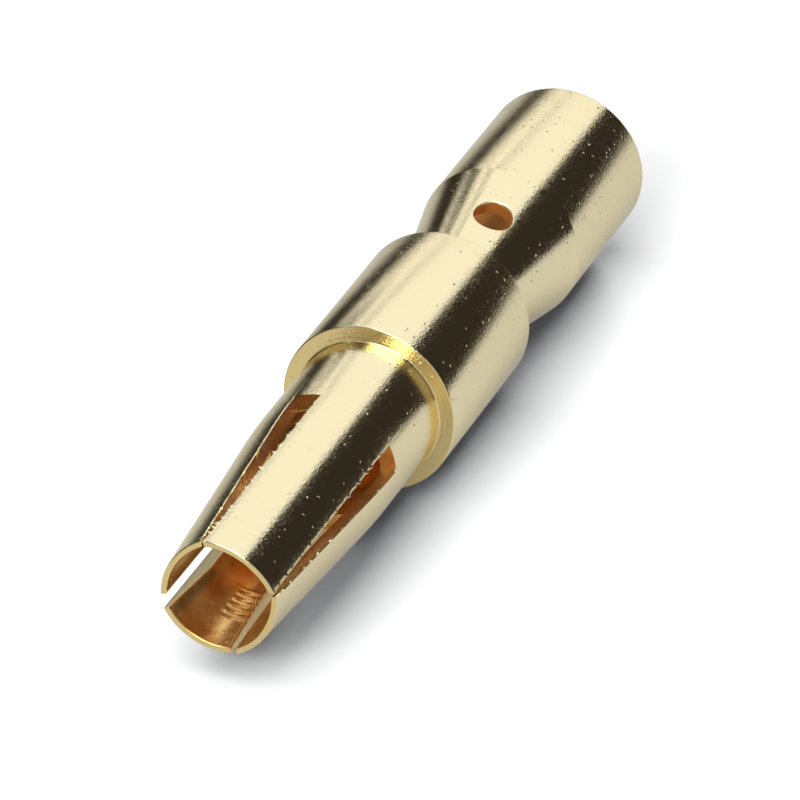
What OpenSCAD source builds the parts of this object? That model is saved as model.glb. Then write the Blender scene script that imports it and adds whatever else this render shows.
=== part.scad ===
// Crimp socket contact: one turned, drilled and slotted receptacle for a round pin.
// Millimetres. The contact stands on its wire end, with its mating mouth up +Z.
// The inspection hole of the wire barrel faces -Y.

/* [Wire barrel] */
// Diameter of the wire bore
wire_bore_d = 2.3; // [1.6:0.05:2.6]
// Wall of the wire barrel
barrel_wall = 0.425; // [0.35:0.025:0.8]
// Length of the plain barrel, from the wire end to the start of the cone
barrel_len = 3.6; // [2:0.1:8]
// How far the full wire bore runs on past the plain barrel, inside the cone
wire_bore_past = 1.4; // [0.8:0.1:1.8]
// Depth of the countersink at the wire entry
wire_lead_in = 0.15; // [0.05:0.01:0.2]
// Edge break round the outside of the wire end
barrel_edge = 0.08; // [0.02:0.01:0.12]

/* [Inspection hole] */
// Diameter of the inspection hole
hole_d = 0.8; // [0.4:0.05:1.2]
// Distance from the bottom of the full wire bore back to the hole's axis
hole_back = 0.15; // [0:0.05:1.5]

/* [Neck] */
// Diameter of the cone where it runs into the collar
neck_d = 2.1; // [1.7:0.05:2.8]
// Length of the cone between barrel and collar
neck_len = 2.85; // [2.2:0.05:5]

/* [Collar] */
// Width of the shoulder, from the sleeve out to the collar
collar_step = 0.3; // [0.2:0.01:0.8]
// Length of the collar
collar_len = 3.9; // [2.5:0.1:8]
// Edge break round the front of the collar
collar_front_edge = 0.04; // [0.02:0.01:0.1]
// Edge break round the back of the collar
collar_rear_edge = 0.03; // [0.01:0.01:0.1]
// Radius in the corner between shoulder and sleeve
root_radius = 0.05; // [0.03:0.01:0.3]

/* [Socket sleeve] */
// Diameter of the socket bore
socket_bore_d = 2.1; // [1.5:0.05:3]
// Wall of the sleeve and of the tines
sleeve_wall = 0.3; // [0.2:0.01:0.5]
// Length of the closed sleeve, from the shoulder to the slot roots
sleeve_len = 2.1; // [0.5:0.1:5]
// Depth of the full socket bore behind the shoulder
socket_bore_back = 0.9; // [0.2:0.1:2]

/* [Tines] */
// Number of tines
tine_count = 4; // [4:1:6]
// Length of a tine, from the slot root to the mouth
tine_len = 5.1; // [3:0.1:8]
// Width of a slot at its root
slot_w = 0.5; // [0.3:0.01:0.65]
// Width of the one slot that stays open at the mouth
open_slot_w = 0.7; // [0.3:0.01:0.9]
// Gap left between neighbouring tines at the mouth once they are closed in
mouth_gap = 0.04; // [0.02:0.01:0.3]
// Turn of the open slot about the axis, from +X
slot_turn = 30; // [0:1:359]
// Wall left at the mouth by the lead-in
tip_wall = 0.12; // [0.06:0.01:0.18]
// Length of the tapered lead-in inside the mouth
lead_in_len = 1.6; // [0.4:0.1:2.5]

/* [Hidden] */
$fn = 96;

wire_bore_r = wire_bore_d / 2;
barrel_r = wire_bore_r + barrel_wall;
neck_r = neck_d / 2;
socket_bore_r = socket_bore_d / 2;
sleeve_r = socket_bore_r + sleeve_wall;
collar_r = sleeve_r + collar_step;

collar_z = barrel_len + neck_len;
shoulder_z = collar_z + collar_len;
slot_root_z = shoulder_z + sleeve_len;
wire_bore_depth = barrel_len + wire_bore_past;
hole_z = wire_bore_depth - hole_back;

// The root radius stays clear of the collar's edge break.
root_r = min(root_radius, 0.8 * (collar_step - collar_front_edge));

// Half the angle between two slots, and the angle that brings neighbouring tines to the mouth gap.
tine_half = 180 / tine_count;
tine_close = asin((slot_w - mouth_gap) / (2 * sin(tine_half) * tine_len));

// A bent tine stands this far inside the sleeve's faces at its root, and grows this far into its wall.
bend_step = 0.01;
bend_bite = 0.1;

drill_point = 118;

// Outline of the turned blank up to the slot roots, from the axis outwards.
module blank_outline() {
    polygon([
        [0, 0],
        [barrel_r - barrel_edge, 0],
        [barrel_r, barrel_edge],
        [barrel_r, barrel_len],
        [neck_r, collar_z],
        [collar_r - collar_rear_edge, collar_z],
        [collar_r, collar_z + collar_rear_edge],
        [collar_r, shoulder_z - collar_front_edge],
        [collar_r - collar_front_edge, shoulder_z],
        [sleeve_r, shoulder_z],
        [sleeve_r, slot_root_z],
        [0, slot_root_z]
    ]);
    translate([sleeve_r, shoulder_z])
        difference() {
            square(root_r);
            translate([root_r, root_r])
                circle(root_r);
        }
}

// Blind hole drilled upwards from z = 0, with a drill's pointed bottom.
module drilled(r, depth) {
    translate([0, 0, -r])
        cylinder(r = r, h = depth + r);
    translate([0, 0, depth])
        cylinder(r1 = r, r2 = 0, h = r / tan(drill_point / 2));
}

module wire_bore() {
    drilled(wire_bore_r, wire_bore_depth);
    translate([0, 0, -wire_lead_in])
        cylinder(r1 = wire_bore_r + 2 * wire_lead_in, r2 = wire_bore_r, h = 2 * wire_lead_in);
}

// Radial hole through one wall, for seeing that the wire is fully home.
module inspection_hole() {
    translate([0, 0, hole_z])
        rotate([90, 0, 0])
            cylinder(d = hole_d, h = 2 * barrel_r);
}

module socket_bore() {
    translate([0, 0, slot_root_z])
        mirror([0, 0, 1])
            drilled(socket_bore_r, sleeve_len + socket_bore_back);
}

// Plan of one tine, centred on +X between the slot that follows it and the slot before it.
module tine_plan(slot_after, slot_before) {
    apex = [
        (slot_after + slot_before) / (4 * sin(tine_half)),
        (slot_before - slot_after) / (4 * cos(tine_half))
    ];
    side = 3 * sleeve_r;
    intersection() {
        difference() {
            circle(sleeve_r - bend_step);
            circle(socket_bore_r + bend_step);
        }
        polygon([
            apex,
            apex + side * [cos(tine_half), sin(tine_half)],
            apex + side * [cos(tine_half), -sin(tine_half)]
        ]);
    }
}

// Taper that thins the wall towards the mouth, measured from the slot root.
// It is cut a little past both of its ends.
module lead_in() {
    slope = (sleeve_wall - tip_wall) / lead_in_len;
    past = tip_wall;
    translate([0, 0, tine_len - lead_in_len - past])
        cylinder(
            r1 = socket_bore_r - slope * past,
            r2 = sleeve_r - tip_wall + slope * past,
            h = lead_in_len + 2 * past
        );
}

// One tine, bent inwards at its root so that its mouth end closes on the pin.
module tine(slot_after, slot_before) {
    translate([sleeve_r, 0, slot_root_z])
        rotate([0, -tine_close, 0])
            translate([-sleeve_r, 0, 0])
                difference() {
                    translate([0, 0, -bend_bite])
                        linear_extrude(tine_len + bend_bite)
                            tine_plan(slot_after, slot_before);
                    lead_in();
                }
}

// The ring of tines. The open slot lies between the first tine and the second.
module tines() {
    for (i = [0 : tine_count - 1])
        rotate([0, 0, slot_turn + (2 * i - 1) * tine_half])
            tine(i == 0 ? open_slot_w : slot_w, i == 1 ? open_slot_w : slot_w);
}

module socket_contact() {
    color("gold")
        union() {
            difference() {
                rotate_extrude()
                    blank_outline();
                wire_bore();
                inspection_hole();
                socket_bore();
            }
            tines();
        }
}

socket_contact();
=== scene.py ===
import math

import bpy
from mathutils import Matrix, Vector


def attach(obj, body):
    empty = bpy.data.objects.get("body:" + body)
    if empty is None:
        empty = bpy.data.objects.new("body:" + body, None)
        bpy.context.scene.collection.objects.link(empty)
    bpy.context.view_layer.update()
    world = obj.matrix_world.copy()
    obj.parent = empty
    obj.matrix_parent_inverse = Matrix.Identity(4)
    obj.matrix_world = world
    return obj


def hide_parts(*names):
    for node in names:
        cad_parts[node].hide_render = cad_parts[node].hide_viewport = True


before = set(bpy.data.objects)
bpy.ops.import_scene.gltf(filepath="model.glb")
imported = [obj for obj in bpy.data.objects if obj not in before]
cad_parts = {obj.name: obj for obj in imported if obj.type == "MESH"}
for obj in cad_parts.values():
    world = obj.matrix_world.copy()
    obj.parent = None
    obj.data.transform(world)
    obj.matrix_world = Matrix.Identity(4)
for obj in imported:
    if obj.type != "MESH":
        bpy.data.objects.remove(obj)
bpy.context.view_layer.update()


# The contact is turned from one piece of copper alloy: crimp barrel, coned neck, locating collar
# and socket sleeve. Both ends are drilled, an inspection hole goes through the neck, and the sleeve
# is slit into four tines that are closed in at the mouth. The whole piece is then gold plated.
class Wire:
    """A socket of a node tree. Sums and products of wires and numbers add their Math nodes."""

    def __init__(self, tree, socket=None):
        self.tree = tree
        self.socket = socket

    def node(self, kind, settings=None, values=None, out=0):
        """Add any node: its settings first, then the values or links of its sockets."""
        made = self.tree.nodes.new(kind)
        for name, setting in (settings or {}).items():
            if name == "stops":
                ramp = made.color_ramp.elements
                while len(ramp) < len(setting):
                    ramp.new(1.0)
                for stop, (place, grey) in zip(ramp, setting):
                    stop.position = place
                    stop.color = (grey, grey, grey, 1.0)
            elif name == "items":
                made.index_switch_items.clear()
                for _ in range(setting):
                    made.index_switch_items.new()
            else:
                setattr(made, name, setting)
        for name, value in (values or {}).items():
            for part in value if isinstance(value, list) else [value]:
                if isinstance(part, Wire):
                    self.tree.links.new(part.socket, made.inputs[name])
                else:
                    made.inputs[name].default_value = part
        return Wire(self.tree, made.outputs[out] if made.outputs else None)

    def side(self, out):
        """Another output of the same node."""
        return Wire(self.tree, self.socket.node.outputs[out])

    def maths(self, operation, *terms):
        """Add a Math node that works on this value and any others."""
        return self.node("ShaderNodeMath", {"operation": operation}, dict(enumerate((self, *terms))))

    def held(self, low=0.0, high=1.0):
        """The value kept between two limits."""
        return self.maths("MAXIMUM", low).maths("MINIMUM", high)

    def past(self, start, width):
        """0 up to a start, then rising to 1 over a width."""
        return ((self - start) / width).held()

    def __add__(self, other):
        return self.maths("ADD", other)

    def __sub__(self, other):
        return self.maths("SUBTRACT", other)

    def __mul__(self, other):
        return self.maths("MULTIPLY", other)

    def __truediv__(self, other):
        return self.maths("DIVIDE", other)

    def __neg__(self):
        return self.maths("MULTIPLY", -1.0)

    def __rsub__(self, other):
        return -self + other

    def __rtruediv__(self, other):
        return self.maths("POWER", -1.0) * other

    __radd__, __rmul__ = __add__, __mul__


contact_sizes = {
    "Wire Bore Radius": 0.00115,
    "Wire Bore Depth": 0.005,
    "Wire Lead-in": 0.00015,
    "Barrel Radius": 0.001575,
    "Barrel Length": 0.0036,
    "Hole Radius": 0.00036,
    "Hole Height": 0.00485,
    "Hole Rim": 0.00004,
    "Neck Radius": 0.00105,
    "Collar Back": 0.00645,
    "Collar Radius": 0.00165,
    "Shoulder Height": 0.01035,
    "Sleeve Radius": 0.00135,
    "Slot Root": 0.01245,
    "Socket Radius": 0.00105,
    "Socket Floor": 0.00945,
    "Tine Length": 0.0051,
    "Slot Width": 0.0005,
    "Open Slot Width": 0.0007,
    "Slot Turn": math.radians(30),
    "Closing Angle": 0.0708,
    "Bend Length": 0.001,
    "Tip Wall": 0.00012,
    "Lead-in Length": 0.0016,
    "Ring Depth": 0.00002,
    "Burr": 0.000022,
}
contact_tree = bpy.data.node_groups.new("turned contact", "GeometryNodeTree")
contact_tree.interface.new_socket("Contact", in_out="OUTPUT", socket_type="NodeSocketGeometry")
size_socket = {
    name: contact_tree.interface.new_socket(name, in_out="INPUT", socket_type="NodeSocketFloat")
    for name in contact_sizes
}
bench = Wire(contact_tree)
size_node = bench.node("NodeGroupInput")
size = {name: size_node.side(name) for name in contact_sizes}
index = bench.node("GeometryNodeInputIndex")
position = bench.node("GeometryNodeInputPosition")
point_x = bench.node("ShaderNodeSeparateXYZ", values={"Vector": position})
point_y, point_z = point_x.side("Y"), point_x.side("Z")


def mark(geometry, name, value, kind="FLOAT", domain="FACE"):
    """Store a value on the mesh under a name."""
    return bench.node(
        "GeometryNodeStoreNamedAttribute",
        {"data_type": kind, "domain": domain},
        {"Geometry": geometry, "Name": name, "Value": value},
    )


def marked(name, kind="FLOAT"):
    """Read back a value that was stored under a name."""
    return bench.node("GeometryNodeInputNamedAttribute", {"data_type": kind}, {"Name": name})


# Outline of the turned blank, from the point of the wire drill round the outside to the point of
# the socket drill. Each corner has a radius, a height and the rounding that the tool leaves.
drill_point = math.radians(118)
point_slope = 1 / math.tan(drill_point / 2)
wire_r = size["Wire Bore Radius"]
socket_r = size["Socket Radius"]
sleeve_r = size["Sleeve Radius"]
corners = [
    (0.0, size["Wire Bore Depth"] + wire_r * point_slope, 0.0),
    (wire_r, size["Wire Bore Depth"], 0.0),
    (wire_r, size["Wire Lead-in"], 0.00003),
    (wire_r + size["Wire Lead-in"], 0.0, 0.00003),
    (size["Barrel Radius"], 0.0, 0.0001),
    (size["Barrel Radius"], size["Barrel Length"], 0.00008),
    (size["Neck Radius"], size["Collar Back"], 0.00006),
    (size["Collar Radius"], size["Collar Back"], 0.00004),
    (size["Collar Radius"], size["Shoulder Height"], 0.00003),
    (sleeve_r, size["Shoulder Height"], 0.00004),
    (sleeve_r, size["Slot Root"], 0.0),
    (socket_r, size["Slot Root"], 0.0),
    (socket_r, size["Socket Floor"], 0.0),
    (0.0, size["Socket Floor"] - socket_r * point_slope, 0.0),
]
corner_places = {
    n + 1: bench.node("ShaderNodeCombineXYZ", values={"X": corner[0], "Z": corner[1]})
    for n, corner in enumerate(corners)
}
corner_place = bench.node(
    "GeometryNodeIndexSwitch",
    {"data_type": "VECTOR", "items": len(corners)},
    {0: index, **corner_places},
)
rounding = bench.node(
    "GeometryNodeIndexSwitch",
    {"data_type": "FLOAT", "items": len(corners)},
    {0: index, **{n + 1: corner[2] for n, corner in enumerate(corners)}},
)
outline = bench.node("GeometryNodePoints", values={"Count": len(corners), "Position": corner_place})
outline = bench.node("GeometryNodePointsToCurves", values={"Points": outline})
outline = bench.node(
    "GeometryNodeFilletCurve",
    {"mode": "POLY"},
    {"Curve": outline, "Count": 4, "Radius": rounding, "Limit Radius": True},
)

# The outline is turned about the axis on a grid of columns and welded shut.
columns = 288
weld = 1e-7
rows = bench.node("GeometryNodeAttributeDomainSize", {"component": "CURVE"}, {"Geometry": outline})
grid = bench.node("GeometryNodeMeshGrid", values={"Vertices X": columns + 1, "Vertices Y": rows})
column = (index / rows).maths("FLOOR")
outline_point = bench.node(
    "GeometryNodeSampleIndex",
    {"data_type": "FLOAT_VECTOR", "domain": "POINT"},
    {"Geometry": outline, "Value": position, "Index": index - column * rows},
)
outline_r = bench.node("ShaderNodeSeparateXYZ", values={"Vector": outline_point})
turn = column * (2 * math.pi / columns)
turned = bench.node(
    "ShaderNodeCombineXYZ",
    values={
        "X": outline_r * turn.maths("COSINE"),
        "Y": outline_r * turn.maths("SINE"),
        "Z": outline_r.side("Z"),
    },
)
blank = bench.node("GeometryNodeSetPosition", values={"Geometry": grid, "Position": turned})
blank = bench.node("GeometryNodeMergeByDistance", values={"Geometry": blank, "Distance": weld})

# The inspection hole is drilled from the -Y side as far as the axis. The cutter's first ring of faces
# bores straight, and the next ones flare out at the cone's surface, because the rim is rounded over.
cutter_rings = 10
rim_turn = math.radians(75)
cutter = bench.node(
    "GeometryNodeMeshCylinder",
    values={"Vertices": 96, "Side Segments": cutter_rings, "Radius": 1.0, "Depth": 2.0},
)
ring = (point_z + 1) * (cutter_rings / 2)
cutter = mark(cutter, "bored", ring.maths("LESS_THAN", 1.0))
flare = ring.past(1, cutter_rings - 2) * rim_turn
hole_r = size["Hole Radius"] + size["Hole Rim"] * (1 - flare.maths("COSINE"))
hole_x = point_x * hole_r
hole_z = point_y * hole_r + size["Hole Height"]
cone_length = size["Collar Back"] - size["Barrel Length"]
cone_slope = (size["Barrel Radius"] - size["Neck Radius"]) / cone_length
cone_r = size["Barrel Radius"] - (hole_z - size["Barrel Length"]) * cone_slope
skin = (cone_r * cone_r - hole_x * hole_x).maths("SQRT")
skin = skin - size["Hole Rim"] * (1 - flare.maths("SINE"))
past_skin = (ring - (cutter_rings - 1)).maths("MAXIMUM", 0.0) * size["Hole Radius"]
cutter_y = -(skin * ring.maths("MINIMUM", 1.0) + past_skin)
cutter_place = bench.node("ShaderNodeCombineXYZ", values={"X": hole_x, "Y": cutter_y, "Z": hole_z})
cutter = bench.node("GeometryNodeSetPosition", values={"Geometry": cutter, "Position": cutter_place})
drilled = bench.node(
    "GeometryNodeMeshBoolean",
    {"operation": "DIFFERENCE", "solver": "EXACT"},
    {"Mesh 1": blank, "Mesh 2": cutter},
)

# One block for each tine is bent to shape: x runs across the tine, y through its wall and z along it.
# It starts a little below the slot root, so that it grows into the sleeve.
tines = 4
bite = 0.00002
starts = bench.node("GeometryNodePoints", values={"Count": tines})
starts = mark(starts, "tine", index, "INT", "POINT")
block = bench.node(
    "GeometryNodeMeshCube",
    values={"Size": (2, 2, 2), "Vertices X": 33, "Vertices Y": 4, "Vertices Z": 240},
)
blocks = bench.node("GeometryNodeInstanceOnPoints", values={"Points": starts, "Instance": block})
blocks = bench.node("GeometryNodeRealizeInstances", values={"Geometry": blocks})
tine = marked("tine", "INT")
first, second, third, fourth = (tine.maths("COMPARE", float(n), 0.1) for n in range(tines))
across = (point_x * (-math.pi / 2)).maths("SINE")
through = point_y
along = ((point_z + 1) * (math.pi / 4)).maths("SINE")
height = along * (size["Tine Length"] + bite) - bite
from_tip = size["Tine Length"] - height

# The wall thins to the tip in the lead-in. One tine has the rings of a boring tool near its mouth.
ring_back = 0.0013
ring_reach = 0.0005
ring_pitch = 0.0002
taper = (height - size["Tine Length"] + size["Lead-in Length"]).maths("MAXIMUM", 0.0)
taper = taper / size["Lead-in Length"] * (sleeve_r - socket_r - size["Tip Wall"])
ringed = from_tip.maths("COMPARE", ring_back, ring_reach) * second * across.past(0.2, 1 / 3)
mouth_rings = ringed * (height * (2 * math.pi / ring_pitch)).maths("SINE") * size["Ring Depth"]
inner = socket_r + taper + mouth_rings

# The edges are a little rounded, and the saw leaves burrs along the closed slots' outer edges, which
# differ from edge to edge.
edge = 0.00003
half_width = 0.0008
burr_start = 0.955
burrs_per_metre = 9000
tine_step = 31
edge_step = 11
sunk_depth = 0.0000001
to_middle = across.maths("ABSOLUTE")
from_side = ((1 - to_middle) * (half_width / edge)).maths("MINIMUM", 1.0)
from_mouth = (from_tip / edge).held()
side_drop, mouth_drop = (1 - (gap * (2 - gap)).maths("SQRT") for gap in (from_side, from_mouth))
drop = side_drop.maths("MAXIMUM", mouth_drop) * edge
crumbs = bench.node(
    "ShaderNodeTexNoise",
    {"noise_dimensions": "1D"},
    {
        "W": height * burrs_per_metre + tine * tine_step + across.maths("SIGN") * edge_step,
        "Scale": 1.0,
        "Detail": 4.0,
        "Roughness": 0.75,
    },
)
after = across.maths("GREATER_THAN", 0.0)
before = 1 - after
is_open = first * after + second * before
ragged = fourth * after + first * before
at_side = ((to_middle - burr_start) / (1 - burr_start)).maths("MAXIMUM", 0.0)
at_outside = through.maths("GREATER_THAN", 0.9)
burr = crumbs.past(0.52, 1 / 7) * size["Burr"] * (1 - is_open) * (1 + ragged) * at_side * at_outside
sunk = height.maths("LESS_THAN", 0.0) * sunk_depth
radius = inner + (sleeve_r - inner) * ((through + 1) / 2) - through * (drop + sunk) + burr

# Slots have parallel sides. The one between the first tine and the second is wider than the rest.
open_more = size["Open Slot Width"] - size["Slot Width"]
swing_after, swing_before = (
    math.pi / tines - ((size["Slot Width"] + open_more * wider) / (radius * 2)).maths("ARCSINE")
    for wider in (first, second)
)
swing = swing_after * ((across + 1) / 2) - swing_before * ((1 - across) / 2)
swing = swing + across.maths("SIGN") * burr / radius

# Each tine bends over a short length above the slot root, then runs straight in to the mouth.
# The second and the third are closed in a little less than the others.
second_slack = 0.10
third_slack = 0.16
closing = size["Closing Angle"] * (1 - (second * second_slack + third * third_slack))
bent = (height / size["Bend Length"]).held()
lean = closing * bent
bend_shift = bent * bent * size["Bend Length"] / 2
shift = closing * (height.maths("MAXIMUM", 0.0) - bent * size["Bend Length"] + bend_shift)
out_x = radius * swing.maths("COSINE") - sleeve_r
side_y = radius * swing.maths("SINE")
leaned_x = sleeve_r + out_x * lean.maths("COSINE") - shift
leaned_z = size["Slot Root"] + height - shift * lean / 2 + out_x * lean.maths("SINE")
facing = size["Slot Turn"] + (tine * 2 - 1) * (math.pi / tines)
bent_place = bench.node(
    "ShaderNodeCombineXYZ",
    values={
        "X": leaned_x * facing.maths("COSINE") - side_y * facing.maths("SINE"),
        "Y": leaned_x * facing.maths("SINE") + side_y * facing.maths("COSINE"),
        "Z": leaned_z,
    },
)
blocks = mark(blocks, "open wall", is_open * to_middle.maths("GREATER_THAN", 0.9999))
tine_ring = bench.node("GeometryNodeSetPosition", values={"Geometry": blocks, "Position": bent_place})
whole = bench.node(
    "GeometryNodeMeshBoolean",
    {"operation": "UNION", "solver": "EXACT"},
    {"Mesh 2": [drilled, tine_ring]},
)

# Faces that look towards the axis are the insides of the bores, and those that look sideways are the
# walls of the slots. Faces that look to the front are the shoulder, the tips and the slot roots.
inwards = -0.45
sideways = 0.6
frontways = 0.8
hair = 0.00001
shoulder_edge = 0.00004
wall_share = 0.9
slot_wall_thinness = 0.6
open_wall_gain = 0.55
normal = bench.node("GeometryNodeInputNormal")
flat_place = bench.node("ShaderNodeVectorMath", {"operation": "MULTIPLY"}, {0: position, 1: (1, 1, 0)})
to_axis = bench.node("ShaderNodeVectorMath", {"operation": "LENGTH"}, {0: flat_place}, out="Value")
outward = bench.node("ShaderNodeVectorMath", {"operation": "NORMALIZE"}, {0: flat_place})
facing_out = bench.node(
    "ShaderNodeVectorMath", {"operation": "DOT_PRODUCT"}, {0: outward, 1: normal}, out="Value"
)
endways = bench.node("ShaderNodeSeparateXYZ", values={"Vector": normal}, out="Z")
in_bore = facing_out.maths("LESS_THAN", inwards)
not_endways = endways.maths("ABSOLUTE").maths("LESS_THAN", sideways)
in_slot = facing_out.maths("LESS_THAN", sideways) * not_endways
to_front = endways.maths("GREATER_THAN", frontways)
root_plane = point_z.maths("COMPARE", size["Slot Root"], hair)
past_shoulder = point_z.maths("GREATER_THAN", size["Shoulder Height"] - shoulder_edge)
front_face = to_front * past_shoulder * (1 - root_plane)
in_wall = to_axis.maths("COMPARE", (sleeve_r + socket_r) / 2, (sleeve_r - socket_r) * (wall_share / 2))
slot_wall = in_slot * (slot_wall_thinness - marked("open wall") * open_wall_gain)
slot_root = to_front * root_plane * in_wall
unseen = in_bore.maths("MAXIMUM", marked("bored")).maths("MAXIMUM", slot_wall).maths("MAXIMUM", slot_root)
whole = mark(whole, "inside", unseen)
whole = mark(whole, "faced", front_face)

# Edges sharper than this stay crisp, and the rest is shaded smooth.
crisp = math.radians(32)
sharp = bench.node("GeometryNodeInputMeshEdgeAngle").maths("GREATER_THAN", crisp)
whole = bench.node(
    "GeometryNodeSetShadeSmooth", {"domain": "FACE"}, {"Geometry": whole, "Shade Smooth": True}
)
whole = bench.node(
    "GeometryNodeSetShadeSmooth",
    {"domain": "EDGE"},
    {"Geometry": whole, "Selection": sharp, "Shade Smooth": False},
)

# Pale gold plate shows the turning marks of the metal under it as fine rings, with a light grain and
# a few raised specks. Inside the bores and slots the plate is thin and the metal looks redder. The root
# of one slot is painted dark brown as painted shade, and the faces that look to the front get a deeper
# gold as a painted reflection of the gold they mirror.
outside_gold = (0.89, 0.79, 0.52, 1.0)
# Painted reflection: a deeper gold on the faces that look to the front, for the gold they mirror.
painted_reflection_gold = (0.84, 0.66, 0.30, 1.0)
thin_gold = (0.88, 0.59, 0.23, 1.0)
stained_gold = (0.70, 0.34, 0.085, 1.0)
wire_bore_gold = (0.86, 0.39, 0.093, 1.0)
# Painted shade: dark brown for the root of one slot.
painted_root_shade = (0.24, 0.12, 0.032, 1.0)
edge_on_tint = (0.92, 0.88, 0.76, 1.0)
rings_per_metre = 30000
faced_rings_per_metre = 18000
relief_depth = 0.000004
barrel_end = 0.0065
root_band = 0.00003
root_start = 0.00106
painted_shade_side = 0.0012
gold = bpy.data.materials.new("gold plating")
gold.use_nodes = True
gold.node_tree.nodes.clear()
plate = Wire(gold.node_tree)
spot = plate.node("ShaderNodeTexCoord", out="Object")
x = plate.node("ShaderNodeSeparateXYZ", values={"Vector": spot})
y, z = x.side("Y"), x.side("Z")
from_axis = (x * x + y * y).maths("SQRT")
inside, faced, sawn = (
    plate.node("ShaderNodeAttribute", {"attribute_name": name}, out="Fac")
    for name in ("inside", "faced", "open wall")
)


def mixed(tree, factor, start, end):
    """A colour between two others."""
    return tree.node("ShaderNodeMix", {"data_type": "RGBA"}, {0: factor, 6: start, 7: end}, out=2)


def speckle(scale, detail, roughness):
    """Noise over the plate, in cells per metre."""
    return plate.node(
        "ShaderNodeTexNoise",
        values={"Vector": spot, "Scale": scale, "Detail": detail, "Roughness": roughness},
    )


ring_count = rings_per_metre - faced * (rings_per_metre - faced_rings_per_metre)
turning_marks = plate.node(
    "ShaderNodeTexNoise",
    {"noise_dimensions": "1D"},
    {"W": (from_axis + z) * ring_count, "Scale": 1.0, "Detail": 3.0, "Roughness": 0.6},
)
grain = speckle(20000.0, 2.0, 0.6)
grit = ((speckle(45000.0, 1.0, 0.5) - 0.6) * 3).maths("MAXIMUM", 0.0)
mottle = speckle(7000.0, 4.0, 0.65).past(0.45, 0.25)
stain = speckle(1600.0, 3.0, 0.6).past(0.4, 0.2)
speck = plate.node("ShaderNodeTexVoronoi", values={"Vector": spot, "Scale": 6500.0}, out="Distance")
chance = plate.node("ShaderNodeSeparateColor", values={"Color": speck.side("Color")})
speck = (1 - speck * 5).maths("MAXIMUM", 0.0) * chance.maths("GREATER_THAN", 0.6)
in_barrel = z.maths("LESS_THAN", barrel_end)
at_root = z.maths("COMPARE", contact_sizes["Slot Root"], root_band)
# Painted shade on the root of one slot only, picked by its height and side.
painted_shade_mask = at_root * from_axis.maths("GREATER_THAN", root_start)
painted_shade_mask = painted_shade_mask * (x - y).maths("GREATER_THAN", painted_shade_side)
thin = mixed(plate, stain, thin_gold, stained_gold)
thin = mixed(plate, in_barrel, thin, wire_bore_gold)
thin = mixed(plate, painted_shade_mask, thin, painted_root_shade)
# The faces that look to the front take the painted reflection colour.
tone = mixed(plate, inside, mixed(plate, faced, outside_gold, painted_reflection_gold), thin)
relief = grain * 0.65 + grit * 0.4 + turning_marks * (0.5 + faced * 0.9) + speck * 2.2
bumps = plate.node(
    "ShaderNodeBump", values={"Strength": 1.0, "Distance": relief_depth, "Height": relief}, out="Normal"
)
shine = plate.node(
    "ShaderNodeBsdfPrincipled",
    values={
        "Base Color": tone,
        "Metallic": 1 - inside * 0.12,
        "Roughness": 0.08 + mottle * 0.10 + inside * (0.02 + in_barrel * 0.3) + sawn * 0.3,
        "Specular Tint": edge_on_tint,
        "Normal": bumps,
    },
)
plate.node("ShaderNodeOutputMaterial", values={"Surface": shine})

whole = bench.node("GeometryNodeRealizeInstances", values={"Geometry": whole})
whole = bench.node("GeometryNodeSetMaterial", values={"Geometry": whole, "Material": gold})
bench.node("NodeGroupOutput", values={"Contact": whole})

contact = bpy.data.objects.new("contact", bpy.data.meshes.new("contact"))
bpy.context.scene.collection.objects.link(contact)
lathe = contact.modifiers.new("lathe", "NODES")
lathe.node_group = contact_tree
for name, socket in size_socket.items():
    lathe[socket.identifier] = contact_sizes[name]
evened = contact.modifiers.new("even shading", "WEIGHTED_NORMAL")
evened.keep_sharp = True
graph = bpy.context.evaluated_depsgraph_get()
contact_mesh = bpy.data.meshes.new_from_object(
    contact.evaluated_get(graph), preserve_all_data_layers=True, depsgraph=graph
)
contact.modifiers.clear()
contact.data = contact_mesh
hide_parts("socket_contact")
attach(contact, "root")

# The table's bounced light passes the contact by, so that the gold throws no yellow glow on it.
contact.visible_diffuse = False

# The contact lies on its collar's side on a white table. The table is seen from above only, so that
# the contact can be looked at from below too. In the gold it looks dimmer, has a painted glow near the
# contact, and is painted darker further off.
lying_turn = math.radians(284.94)
rest_height = 0.009
table_reach = 0.6
table_white = (0.95, 0.95, 0.95, 1.0)
mirrored_dark = (0.01, 0.01, 0.01, 1.0)
black = (0.0, 0.0, 0.0, 1.0)
full_white = (1.0, 1.0, 1.0, 1.0)
fade_left = 0.026
fade_left_width = 0.006
fade_right = -0.05
fade_right_width = 0.03
far_level = 0.05
dim_start = 0.003
dim_width = 0.007
lit_share = 0.3
near_glow = 0.36
dim_loss = 0.24
axis_way = Vector((0, 0, 1))
table_up = Vector((math.cos(lying_turn), math.sin(lying_turn), 0))
table_side = axis_way.cross(table_up)
rest_point = axis_way * rest_height - table_up * contact_sizes["Collar Radius"]
table_mesh = bpy.data.meshes.new("table")
table_mesh.from_pydata(
    [
        rest_point + (table_side * to_side + axis_way * to_end) * table_reach
        for to_side, to_end in ((-1, -1), (1, -1), (1, 1), (-1, 1))
    ],
    [],
    [(0, 1, 2, 3)],
)
if table_mesh.polygons[0].normal.dot(table_up) < 0:
    table_mesh.flip_normals()
table = bpy.data.objects.new("table", table_mesh)
bpy.context.scene.collection.objects.link(table)
paint = bpy.data.materials.new("white_table")
paint.use_nodes = True
paint.node_tree.nodes.clear()
white = Wire(paint.node_tree)
mirrored = white.node("ShaderNodeLightPath", out="Is Glossy Ray")
to_left = white.node(
    "ShaderNodeVectorMath",
    {"operation": "DOT_PRODUCT"},
    {0: white.node("ShaderNodeTexCoord", out="Object"), 1: table_side},
    out="Value",
)
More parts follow.
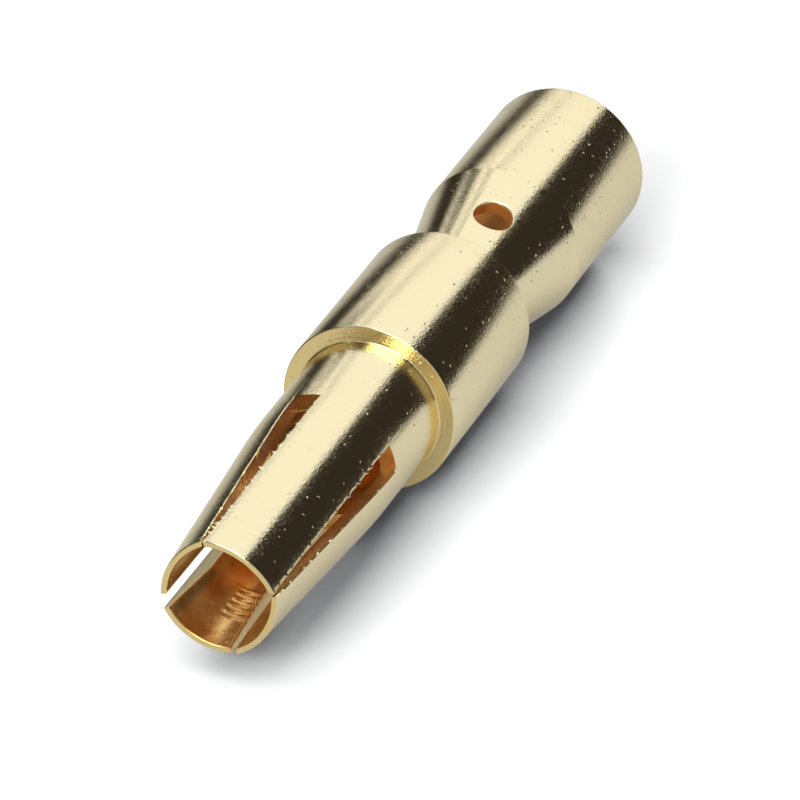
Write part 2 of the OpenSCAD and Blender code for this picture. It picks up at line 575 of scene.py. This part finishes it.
dimmed = to_left.past(dim_start, dim_width)
fading = (fade_left - to_left) / fade_left_width
fading = fading.maths("MINIMUM", (to_left - fade_right) / fade_right_width).held(far_level, 1.0)
# Painted glow and painted darkening, seen only in the gold's reflections.
lit_tone = mixed(white, mirrored * (1 - fading * lit_share), table_white, mirrored_dark)
glow_tone = mixed(white, mirrored * fading * (near_glow - dimmed * dim_loss), black, full_white)
lit = white.node("ShaderNodeBsdfDiffuse", values={"Color": lit_tone})
glow = white.node("ShaderNodeEmission", values={"Color": glow_tone, "Strength": 1.0})
top_side = white.node("ShaderNodeAddShader", values={0: lit, 1: glow})
under_side = white.node("ShaderNodeBsdfTransparent")
from_below = white.node("ShaderNodeNewGeometry", out="Backfacing")
surface = white.node("ShaderNodeMixShader", values={0: from_below, 1: top_side, 2: under_side})
white.node("ShaderNodeOutputMaterial", values={"Surface": surface})
table_mesh.materials.append(paint)


# Three long soft boxes hang over the contact, and only the gold sees them: they make its bright bands.
# Three lamps that the gold doesn't mirror light the table and cast the shadow. The room is dark, apart
# from the panels in front that the shoulder and the mouth mirror, and the camera sees it as white.
def hang(name, energy, sides, ends, height):
    """A lamp that looks straight down. Sides and ends are its limits across and along the contact."""
    lamp = bpy.data.lights.new(name, "AREA")
    lamp.shape = "RECTANGLE"
    lamp.size = sides[0] - sides[1]
    lamp.size_y = ends[0] - ends[1]
    lamp.energy = energy
    hung = bpy.data.objects.new(name, lamp)
    bpy.context.scene.collection.objects.link(hung)
    middle = table_up * height + table_side * (sum(sides) / 2) + axis_way * (sum(ends) / 2)
    hung.matrix_world = Matrix.Translation(rest_point + middle) @ Matrix(
        (table_side, axis_way, table_side.cross(axis_way))
    ).transposed().to_4x4()
    hung.visible_camera = False
    return hung


soft_box_height = 0.10
for soft_box in (
    hang("outer soft box", 0.2716, (0.225, 0.104), (-0.205, -0.88), soft_box_height),
    hang("left soft box", 0.1017, (0.104, 0.070), (0.02, -0.88), soft_box_height),
    hang("right soft box", 0.3471, (0.063, -0.053), (0.02, -0.88), soft_box_height),
):
    soft_box.visible_diffuse = False
table_lamp_height = 0.30
for table_lamp in (
    hang("top table lamp", 1.24, (0.21, -0.15), (0.42, -0.03), table_lamp_height),
    hang("front table lamp", 6.95, (0.21, -0.15), (0.87, 0.39), table_lamp_height),
    hang("back table lamp", 23.6, (0.33, -0.15), (-0.78, -0.96), table_lamp_height),
):
    table_lamp.visible_glossy = False
    table_lamp.data.cycles.use_multiple_importance_sampling = False

panel_white = (0.94, 0.97, 1.0, 1.0)
room_brown = (1.0, 0.83, 0.68, 1.0)
room_level = 0.033
shadow_fill = 0.035
front_start = 0.1
front_width = 0.4
panel_levels = [
    (0.0, 0.45),
    (0.22, 0.45),
    (0.29, 0.06),
    (0.34, 0.06),
    (0.36, 4.5),
    (0.58, 4.5),
    (0.61, 0.06),
    (0.68, 0.06),
    (0.76, 0.4),
    (0.86, 0.55),
]
room = bpy.data.worlds.new("dark room")
room.use_nodes = True
room.node_tree.nodes.clear()
air = Wire(room.node_tree)
seen = air.node("ShaderNodeLightPath", out="Is Camera Ray")
in_gold = seen.side("Is Glossy Ray")
way = air.node("ShaderNodeTexCoord", out="Generated")
ahead = air.node("ShaderNodeSeparateXYZ", values={"Vector": way}, out="Z")
ahead = ahead.past(front_start, front_width)
above, aside = (
    air.node("ShaderNodeVectorMath", {"operation": "DOT_PRODUCT"}, {0: way, 1: axis}, out="Value")
    for axis in (table_up, table_side)
)
round_mouth = aside.maths("ARCTAN2", above) / math.pi + 0.5
panels = air.node("ShaderNodeValToRGB", {"stops": panel_levels}, {"Fac": round_mouth})
level = room_level + ahead * panels * in_gold + seen.side("Is Diffuse Ray") * shadow_fill
tint = mixed(air, in_gold * (1 - ahead), panel_white, room_brown)
tint = mixed(air, seen, tint, full_white)
sky = air.node("ShaderNodeBackground", values={"Color": tint, "Strength": seen.maths("MAXIMUM", level)})
air.node("ShaderNodeOutputWorld", values={"Surface": sky})
bpy.context.scene.world = room

# The camera looks down the contact from its mouth end with a long lens. It is turned about its own
# axis, so that the mouth points to the lower left.
view = bpy.data.cameras.new("camera")
view.lens = 358.12
view.clip_start = 0.001
aim = Vector((-0.000452, -0.000258, 0.010077))
distance = 0.142985
away = math.radians(252.0)
tilt = math.radians(54.682)
roll = math.radians(141.544)
back_axis = Vector((math.cos(away) * math.cos(tilt), math.sin(away) * math.cos(tilt), math.sin(tilt)))
level_right = axis_way.cross(back_axis).normalized()
level_up = back_axis.cross(level_right)
up_axis = level_up * math.cos(roll) + level_right * math.sin(roll)
right_axis = up_axis.cross(back_axis)
camera = bpy.data.objects.new("camera", view)
bpy.context.scene.collection.objects.link(camera)
camera.matrix_world = Matrix.Translation(aim + back_axis * distance) @ Matrix(
    (right_axis, up_axis, back_axis)
).transposed().to_4x4()
bpy.context.scene.camera = camera
bpy.context.scene.view_settings.view_transform = "Standard"
